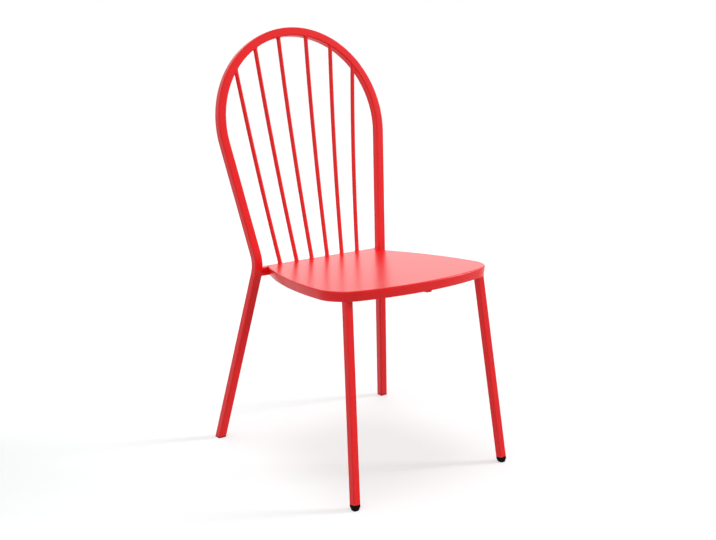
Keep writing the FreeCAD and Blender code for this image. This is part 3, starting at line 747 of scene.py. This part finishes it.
@dataclass
class SeatSheet:
    """Pressed sheet seat: flat top, rounded fold, skirt leaning in, open over the rear rail."""

    plan: ChairPlan
    front: float = 241.6
    half_width: float = 218.1
    station: float = 160.9
    front_radius: float = 558.3
    corner_radius: float = 78.9
    side_radius: float = 868.0
    rear_radius: float = 12.0
    rear_edge: float = 175.5
    fold_start: float = 167.0
    fold_radius: float = 3.0
    fold_steps: int = 8
    skirt_lean: float = 9.5
    skirt_rows: tuple = (0.5, 1.0)
    arc_steps: tuple = (40, 18, 48, 6)
    sharp: float = 50.0

    def arcs(self) -> list[tuple[Vector, Vector, Vector, int]]:
        """Work out the arcs of the outline's right half, from the front's middle to the rear edge.

        Returns:
            Each arc's centre in millimetres, the directions from it to the arc's two ends, and its steps.
        """
        front = Vector((0.0, self.front_radius - self.front, 0.0))
        side = Vector((self.half_width - self.side_radius, -self.station, 0.0))
        reach_front = self.front_radius - self.corner_radius
        reach_side = self.side_radius - self.corner_radius
        between = side - front
        along = (reach_front**2 - reach_side**2 + between.length**2) / (2.0 * between.length)
        aside = math.sqrt(reach_front**2 - along**2)
        unit = between.normalized()
        corner = front + unit * along + Vector((-unit.y, unit.x, 0.0)) * aside
        rear_y = self.rear_edge - self.rear_radius
        reach = self.side_radius - self.rear_radius
        rear = Vector((side.x + math.sqrt(reach**2 - (rear_y - side.y) ** 2), rear_y, 0.0))
        turns = [(one - other).normalized() for one, other in ((corner, front), (corner, side), (rear, side))]
        ends = (-REARWARD, *turns, REARWARD)
        return list(zip((front, corner, side, rear), ends, ends[1:], self.arc_steps))

    def loop(self, work: Workpiece, inset: float, depth: float) -> Edges:
        """Draw the seat's outline, set in by a distance, at a depth under the top.

        Args:
            work: The mesh that takes the outline, with all its earlier edges marked.
            inset: Distance inside the sheet's outline.
            depth: Distance under the sheet's top.

        Returns:
            The closed loop of edges, which are marked too.
        """
        place = self.plan.seat_frame() @ Matrix.Translation(UP * -depth * MM)
        up = place.to_3x3() @ UP
        arcs = self.arcs()
        centre, ahead = arcs[0][:2]
        start = centre + ahead * (self.front_radius - inset)
        vert = bmesh.ops.create_vert(work.bm, co=place @ (start * MM))["vert"][0]
        for centre, before, after, steps in arcs:
            made = bmesh.ops.spin(
                work.bm, geom=[vert], cent=place @ (centre * MM), axis=up, angle=before.angle(after),
                steps=steps,
            )
            vert = next(item for item in made["geom_last"] if isinstance(item, BMVert))
        half = work.fresh()
        copies = bmesh.ops.duplicate(work.bm, geom=half + once(vert for edge in half for vert in edge.verts))
        mirrored = [item for item in copies["geom"] if isinstance(item, BMVert)]
        bmesh.ops.scale(work.bm, verts=mirrored, vec=(-1.0, 1.0, 1.0))
        verts = once(vert for edge in work.fresh() for vert in edge.verts)
        bmesh.ops.remove_doubles(work.bm, verts=verts, dist=TINY)
        rear_ends = [vert for vert in work.bm.verts if len(vert.link_edges) == 1]
        bmesh.ops.contextual_create(work.bm, geom=rear_ends)
        edges = work.fresh()
        work.mark()
        return edges

    def build(self) -> list[Object]:
        """Press the sheet and lay its rear lip over the rail.

        Returns:
            The finished seat.
        """
        seat = self.plan.seat_frame()
        work = Workpiece("seat_sheet")
        loops = [self.loop(work, inset, depth) for inset, depth in self.profile()]
        bmesh.ops.contextual_create(work.bm, geom=loops[0])
        work.skin(loops)
        line = seat @ (REARWARD * self.fold_start * MM)
        rearward = seat.to_3x3() @ REARWARD
        self.trim(work, work.bm.faces, line, rearward)
        pan = set(work.bm.faces)
        work.mark()
        bmesh.ops.contextual_create(work.bm, geom=self.loop(work, 0.0, 0.0))
        self.trim(work, [face for face in work.bm.faces if face not in pan], line, -rearward)
        piece = work.finish(RED, "seat_panel", self.sharp)
        wall = piece.modifiers.new("sheet_thickness", "SOLIDIFY")
        wall.thickness = self.plan.sheet * MM
        wall.offset = -1.0
        # The sheet gets its thickness before its normals are weighted.
        piece.modifiers.move(1, 0)
        return [piece]

    def profile(self) -> list[tuple[float, float]]:
        """Draw the section of the fold and the skirt.

        Returns:
            Distances inside the sheet's outline and under its top, from the flat to the skirt's foot.
        """
        lean = math.radians(self.skirt_lean)
        turns = [(math.pi / 2.0 + lean) * step / self.fold_steps for step in range(self.fold_steps + 1)]
        points = [
            (self.fold_radius * (1.0 - math.sin(turn)), self.fold_radius * (1.0 - math.cos(turn)))
            for turn in turns
        ]
        inset, depth = points[-1]
        run = self.plan.skirt_depth - depth
        points += [(inset + run * share * math.tan(lean), depth + run * share) for share in self.skirt_rows]
        shift = self.plan.skirt_depth * math.tan(lean) - points[-1][0]
        return [(inset + shift, depth) for inset, depth in points]

    def trim(self, work: Workpiece, faces: list, point: Vector, normal: Vector) -> None:
        """Cut faces back to a plane, without closing the cut.

        Args:
            work: The mesh that holds them.
            faces: The faces to cut.
            point: A point of the plane.
            normal: Direction of the side that goes.
        """
        geometry = once(item for face in faces for item in (face, *face.edges, *face.verts))
        bmesh.ops.bisect_plane(
            work.bm, geom=geometry, dist=TINY, plane_co=point, plane_no=normal, clear_outer=True
        )


@dataclass
class SeatFrame:
    """Square tubes under the seat, welded between the legs."""

    plan: ChairPlan
    side_rail_end: float = 138.0
    into_wall: float = 1.2
    steps: int = 8

    def tube(self, node: str, start: Vector, end: Vector, width: float, corner: float) -> Object:
        """Cut a length of tube that lies in the seat's plane.

        Args:
            node: The frame's node that it replaces, which names the piece.
            start: One end in metres, in the seat's own frame.
            end: The other end.
            width: Width across the flats in millimetres.
            corner: Corner radius in millimetres.

        Returns:
            The finished tube.
        """
        seat = self.plan.seat_frame()
        work = Workpiece(f"{node}_tube")
        loop = work.section(seat @ turned_frame(start, end - start, UP), width, corner)
        work.cap(work.straight(loop, seat.to_3x3() @ (end - start), self.steps))
        return work.finish(RED, node)

    def build(self) -> list[Object]:
        """Cut the rear rail, the front rail and the two side rails.

        Returns:
            The four rails.
        """
        plan = self.plan
        reach = plan.bend_half_span - plan.tube / 2.0 + self.into_wall
        rear = Vector((reach, plan.rail_back, -plan.sheet - plan.tube / 2.0)) * MM
        made = [self.tube("rear_rail", across(rear), rear, plan.tube, plan.tube_corner)]
        low = plan.sheet + plan.leg / 2.0
        legs = {side: plan.leg_at(side, -low) for side in Side}
        inside = (plan.leg / 2.0 - self.into_wall) * MM
        step = Vector((inside, 0.0, 0.0))
        ends = (legs[Side.LEFT] + step, legs[Side.RIGHT] - step)
        made.append(self.tube("front_rail", *ends, plan.leg, plan.leg_corner))
        back = plan.rail_back - plan.tube / 2.0 + self.into_wall
        for side in Side:
            end = Vector((side.value * self.side_rail_end, back, -low)) * MM
            start = legs[side] + (end - legs[side]).normalized() * inside
            node = f"side_rail_{side.name.lower()}"
            made.append(self.tube(node, start, end, plan.leg, plan.leg_corner))
        return made


@dataclass(frozen=True)
class Landing:
    """Face of a square tube that a rod's bead lies on, X along the tube and Z out of the face."""

    place: Matrix
    half_width: float
    corner: float
    hollow: float = 0.0

    def height(self, point: Vector) -> float:
        """Find how high the face stands under a point.

        Args:
            point: The point in the face's own frame, in metres.

        Returns:
            The height, which falls round the tube's edges and rises along a hollow hoop.
        """
        corner = self.corner * MM
        past = min(max(abs(point.y) - self.half_width * MM + corner, 0.0), corner)
        fall = corner - math.sqrt(corner**2 - past**2)
        hollow = self.hollow * MM
        rise = hollow - math.sqrt(hollow**2 - point.x**2) if hollow else 0.0
        return rise - fall


@dataclass
class Welds:
    """Small concave beads, rippled as a torch lays them."""

    plan: ChairPlan
    rods: BackRods
    toe: float = 2.8
    climb: float = 3.6
    root: float = 0.4
    ripple: float = 0.11
    ripples: int = 26
    sides: int = 130
    rows: int = 6
    edge_keep: float = 0.5
    settling: int = 3
    tube_toe: float = 3.0
    leg_toe: float = 1.8
    flat_cuts: int = 11
    sharp: float = 60.0

    def section(self, toe: float, climb: float) -> list[tuple[float, float]]:
        """Draw a bead's section.

        Args:
            toe: How far it spreads on the face.
            climb: How far it climbs the member.

        Returns:
            Distances out from the member and up from the face, round the section.
        """
        turns = [math.pi / 2.0 * row / self.rows for row in range(self.rows + 1)]
        curve = [(toe * (1.0 - math.sin(turn)), climb * (1.0 - math.cos(turn))) for turn in turns]
        return [(toe, -self.root), *curve, (-self.root, climb), (-self.root, -self.root)]

    def wave(self, turn: float) -> float:
        """Return how the ripples swell a bead at a place round it."""
        return 1.0 + self.ripple * math.sin(self.ripples * turn)

    def rod_bead(self, work: Workpiece, landing: Landing, spot: Vector, along: Vector) -> None:
        """Lay a bead round a rod.

        Args:
            work: The mesh that takes it.
            landing: The face that it lies on.
            spot: A point of the rod's axis, in metres.
            along: Direction of the rod away from the face.
        """
        inverse = landing.place.inverted()
        axis = (inverse.to_3x3() @ along).normalized()
        centre = inverse @ spot
        centre -= axis * (centre.z / axis.z)
        square = turned_frame(Vector(), axis, REARWARD).to_3x3()
        limit = (landing.half_width - self.edge_keep) * MM
        rings = []
        for out, up in self.section(self.toe, self.climb):
            circle = bmesh.ops.create_circle(work.bm, segments=self.sides, radius=1.0)["verts"]
            for vert in circle:
                turn = math.atan2(vert.co.y, vert.co.x)
                reach = self.rods.diameter / 2.0 + (out * self.wave(turn) if out > 0.0 else out)
                point = centre + square @ vert.co * reach * MM
                point.y = min(max(point.y, -limit), limit)
                lift = 0.0
                for _ in range(self.settling):
                    lift = (landing.height(point + axis * lift) - point.z) / axis.z
                vert.co = landing.place @ (point + axis * (lift + up * MM))
            rings.append(once(edge for vert in circle for edge in vert.link_edges))
        work.skin(rings, closed=True)

    def collar(
        self, work: Workpiece, place: Matrix, width: float, corner: float, toe: float,
        wall: BVHTree | None = None,
    ) -> None:
        """Lay a bead round a square tube.

        Args:
            work: The mesh that takes it.
            place: Frame at the face, Z along the tube away from the face.
            width: Width of the tube across the flats.
            corner: Corner radius of the tube.
            toe: How far the bead spreads and climbs.
            wall: Surface that the bead's foot follows, or none for a flat face.
        """
        inverse = place.inverted()
        flat = (width / 2.0 - corner) * MM
        rings = []
        for out, up in self.section(toe, toe):
            edges = work.section(place, width, corner, filled=False)
            flats = [edge for edge in edges if edge.calc_length() > corner * MM]
            split = bmesh.ops.subdivide_edges(work.bm, edges=flats, cuts=self.flat_cuts)
            cut = [item for item in split["geom"] if isinstance(item, BMEdge)]
            edges = once([edge for edge in edges if edge.is_valid] + cut)
            for vert in once(vert for edge in edges for vert in edge.verts):
                side = inverse @ vert.co
                core = Vector((min(max(side.x, -flat), flat), min(max(side.y, -flat), flat), 0.0))
                spread = (side - core).normalized() * toe * self.wave(math.atan2(side.y, side.x)) * MM
                foot, tip = place @ side, place @ (side + spread)
                if wall is not None:
                    foot, tip = wall.find_nearest(foot)[0], wall.find_nearest(tip)[0]
                top = place @ (side + UP * (toe * MM + (inverse @ foot).z))
                vert.co = foot + (tip - foot) * (out / toe) + (top - foot) * (up / toe)
            rings.append(edges)
        work.skin(rings, closed=True)

    def build(self) -> list[Object]:
        """Lay the beads at the rods' ends, the rear rail's ends and the front legs.

        Returns:
            The four groups of beads.
        """
        plan = self.plan
        seat = plan.seat_frame()
        route = plan.hoop_route()
        tops, feet = Workpiece("rod_top_beads"), Workpiece("rod_foot_beads")
        inner = plan.hoop_radius - plan.tube / 2.0
        rail_top = seat @ Matrix.Translation(Vector((0.0, plan.rail_back, -plan.sheet)) * MM)
        half = plan.tube / 2.0
        for row, side in self.rods.order:
            foot, _, before, after = self.rods.axis(row, side)
            self.rod_bead(feet, Landing(rail_top, half, plan.tube_corner), foot, before)
            _, top = plan.rod_line(row, side)
            turn = side.value * math.radians(row.value[1])
            mouth = plan.hoop_point(inner * math.sin(turn), plan.hoop_rise + inner * math.cos(turn))
            place = turned_frame(mouth, route.hoop_centre - mouth, plan.back_front())
            self.rod_bead(tops, Landing(place, half, plan.tube_corner, inner), top, -after)
        hoop = BVHTree.FromObject(bpy.data.objects["hoop_tube"], bpy.context.evaluated_depsgraph_get())
        ends, legs = Workpiece("rail_end_beads"), Workpiece("leg_top_beads")
        for side in Side:
            aside = side.value * (plan.bend_half_span - half)
            spot = Vector((aside, plan.rail_back, -plan.sheet - half)) * MM
            place = seat @ turned_frame(spot, Vector((-side.value, 0.0, 0.0)), UP)
            self.collar(ends, place, plan.tube, plan.tube_corner, self.tube_toe, hoop)
            under = seat @ plan.leg_at(side, -plan.skirt_depth)
            place = turned_frame(under, -plan.leg_frame(side).col[2].to_3d(), REARWARD)
            self.collar(legs, place, plan.leg, plan.leg_corner, self.leg_toe)
        groups = {
            "spindle_top_welds": tops, "spindle_foot_welds": feet, "rail_welds": ends, "leg_welds": legs,
        }
        return [work.finish(RED, node, self.sharp) for node, work in groups.items()]


@dataclass
class Feet:
    """Black plastic ends of the four legs."""

    plan: ChairPlan
    collar: float = 5.0
    glide: float = 12.0
    glide_corner: float = 4.0
    glide_past_floor: float = 2.5
    edge: float = 0.45

    def front(self, side: Side) -> Object:
        """Mould a front foot: a collar as wide as the leg, which narrows to the floor.

        Args:
            side: Which side it stands on.

        Returns:
            The finished foot.
        """
        plan = self.plan
        name = side.name.lower()
        work = Workpiece(f"front_foot_cap_{name}")
        levels = (
            (-self.glide_past_floor, self.glide, self.glide_corner),
            (plan.foot_height - self.collar, plan.leg, plan.leg_corner),
            (plan.foot_height, plan.leg, plan.leg_corner),
        )
        stand_at = plan.leg_frame(side)
        rings = [
            work.section(stand_at @ Matrix.Translation(UP * level * MM), width, corner, filled=False)
            for level, width, corner in levels
        ]
        work.skin(rings)
        work.cap(rings[0])
        work.cap(rings[-1])
        return self.trim(work, f"front_foot_{name}")

    def rear(self, side: Side) -> Object:
        """Mould a rear foot: a thin plate under the end of the tube.

        Args:
            side: Which side it stands on.

        Returns:
            The finished foot.
        """
        plan = self.plan
        name = side.name.lower()
        work = Workpiece(f"rear_foot_plate_{name}")
        place = plan.hoop_route().leg_frame(side)
        loop = work.section(place, plan.tube, plan.tube_corner)
        work.cap(work.straight(loop, place.col[2].to_3d() * 2.0 * plan.past_floor * MM))
        work.slice_off(UP * plan.foot_plate * MM, UP)
        return self.trim(work, f"rear_foot_{name}")

    def trim(self, work: Workpiece, node: str) -> Object:
        """Cut a foot level with the floor, round its edges and dress it.

        Args:
            work: The foot.
            node: The frame's node that it replaces.

        Returns:
            The finished foot.
        """
        work.slice_off(Vector(), -UP)
        work.soften(self.edge)
        return work.finish(BLACK, node)

    def build(self) -> list[Object]:
        """Mould the four feet."""
        return [self.front(side) for side in Side] + [self.rear(side) for side in Side]


@dataclass
class Brace:
    """Channel under the middle of the seat, whose own shape is right."""

    node: str = "centre_brace"

    def build(self) -> list[Object]:
        """Dress the channel in the chair's powder coat.

        Returns:
            The channel.
        """
        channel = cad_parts[self.node]
        channel.data.materials.clear()
        channel.data.materials.append(RED.material())
        return [channel]


@dataclass
class Studio:
    """Pale floor, even soft light and the camera at the photograph's place; lights stand in metres."""

    target: tuple = (-14.64, -21.557, 436.25)
    azimuth: float = -35.571
    elevation: float = 13.833
    distance: float = 2378.87
    roll: float = -0.203
    lens: float = 52.383
    film_width: float = 36.0
    sight: float = 100.0
    floor_size: float = 60.0
    floor_bounce: float = 0.54
    floor_seen: float = 0.56
    floor_lift: float = 0.505
    floor_tint: tuple = (0.96, 1.0, 1.0, 1.0)
    sky_light: float = 0.35
    sun_height: float = 3.0
    sun_ahead: tuple = (0.1, 1.0, 0.05)
    suns: tuple = (
        ("top_light", (0.0, 0.05, 1.0), 26.0, 0.85),
        ("key_light", (0.912, -0.444, 0.42), 14.0, 1.95),
        ("left_light", (-1.0, -0.45, 0.45), 70.0, 0.75),
    )
    box_place: tuple = (1.98, 2.85, 1.0)
    box_size: tuple = (3.2, 1.7)
    box_power: float = 11.0
    box_aim: float = 0.45

    def camera(self) -> None:
        """Set the camera up where the photograph was taken."""
        azimuth, elevation = math.radians(self.azimuth), math.radians(self.elevation)
        level = Vector((math.sin(azimuth), -math.cos(azimuth), 0.0))
        back = level * math.cos(elevation) + UP * math.sin(elevation)
        data = bpy.data.cameras.new("photograph")
        data.sensor_fit = "HORIZONTAL"
        data.sensor_width = self.film_width
        data.lens = self.lens
        data.clip_end = self.sight
        place = turned_frame((Vector(self.target) + back * self.distance) * MM, back, UP)
        roll = Matrix.Rotation(math.radians(self.roll), 4, "Z")
        bpy.context.scene.camera = stand("photograph", data, place @ roll)

    def sun(self, name: str, towards: tuple, spread: float, strength: float) -> None:
        """Set a far soft light that is the same all over the floor.

        Args:
            name: The light's name.
            towards: Direction from the chair to the light.
            spread: How wide it looks from the chair, in degrees.
            strength: Its strength on a surface that faces it.
        """
        data = bpy.data.lights.new(name, "SUN")
        data.angle = math.radians(spread)
        data.energy = strength
        stand(name, data, turned_frame(UP * self.sun_height, Vector(towards), Vector(self.sun_ahead)))

    def soft_box(self) -> None:
        """Stand a soft box behind the chair, which faces the seat and isn't seen itself."""
        data = bpy.data.lights.new("back_box", "AREA")
        data.shape = "RECTANGLE"
        data.size, data.size_y = self.box_size
        data.energy = self.box_power
        place = Vector(self.box_place)
        stand("back_box", data, turned_frame(place, place - UP * self.box_aim, UP)).visible_camera = False

    def seen(self, tree: NodeTree) -> NodeSocket:
        """Tell rays that show a thing from rays that light by it.

        Args:
            tree: The material's or the world's tree.

        Returns:
            A socket that is 1 for what the camera or a reflection shows, and 0 otherwise.
        """
        path = lay(tree, "LightPath", {}).outputs
        either = lay(tree, "Math", {0: path["Is Camera Ray"], 1: path["Is Glossy Ray"]})
        either.operation = "MAXIMUM"
        return either.outputs["Value"]

    def sky(self) -> None:
        """Fill the world with even white light, full white where the camera or a reflection sees it."""
        world = bpy.data.worlds.new("studio")
        bpy.context.scene.world = world
        world.use_nodes = True
        tree = world.node_tree
        strength = lay(tree, "MapRange", {
            "Value": self.seen(tree), "To Min": self.sky_light, "To Max": 1.0,
        })
        feed(tree, tree.nodes["Background"], {
            "Color": (1.0, 1.0, 1.0, 1.0), "Strength": strength.outputs["Result"],
        })

    def floor(self) -> None:
        """Lay a wide floor that shows white and keeps the chair's shadow."""
        work = bmesh.new()
        bmesh.ops.create_grid(work, x_segments=1, y_segments=1, size=self.floor_size / 2.0)
        mesh = bpy.data.meshes.new("studio_floor")
        work.to_mesh(mesh)
        work.free()
        material = bpy.data.materials.new("pale_floor")
        material.use_nodes = True
        tree = material.node_tree
        seen = self.seen(tree)
        paint = lay(tree, "MapRange", {
            "Value": seen, "To Min": self.floor_bounce, "To Max": self.floor_seen,
        })
        lift = lay(tree, "Math", {0: seen, 1: self.floor_lift})
        lift.operation = "MULTIPLY"
        feed(tree, tree.nodes["Principled BSDF"], {
            "Base Color": paint.outputs["Result"], "Roughness": 0.9, "Specular IOR Level": 0.0,
            "Emission Color": self.floor_tint, "Emission Strength": lift.outputs["Value"],
        })
        mesh.materials.append(material)
        stand("studio_floor", mesh)

    def build(self) -> None:
        """Set the camera, the sky, the floor and the lights."""
        bpy.context.scene.view_settings.view_transform = "Standard"
        self.camera()
        self.sky()
        self.floor()
        for light in self.suns:
            self.sun(*light)
        self.soft_box()


def main() -> None:
    """Build the chair piece by piece, then the studio round it."""
    rods = BackRods(PLAN)
    assemblies = (
        HoopFrame(PLAN), rods, FrontLegs(PLAN), SeatFrame(PLAN), SeatSheet(PLAN), Welds(PLAN, rods),
        Feet(PLAN), Brace(),
    )
    for assembly in assemblies:
        for piece in assembly.build():
            LOG.info("%s: %d faces", piece.name, len(piece.data.polygons))
    Studio().build()


if __name__ == "__main__":
    main()
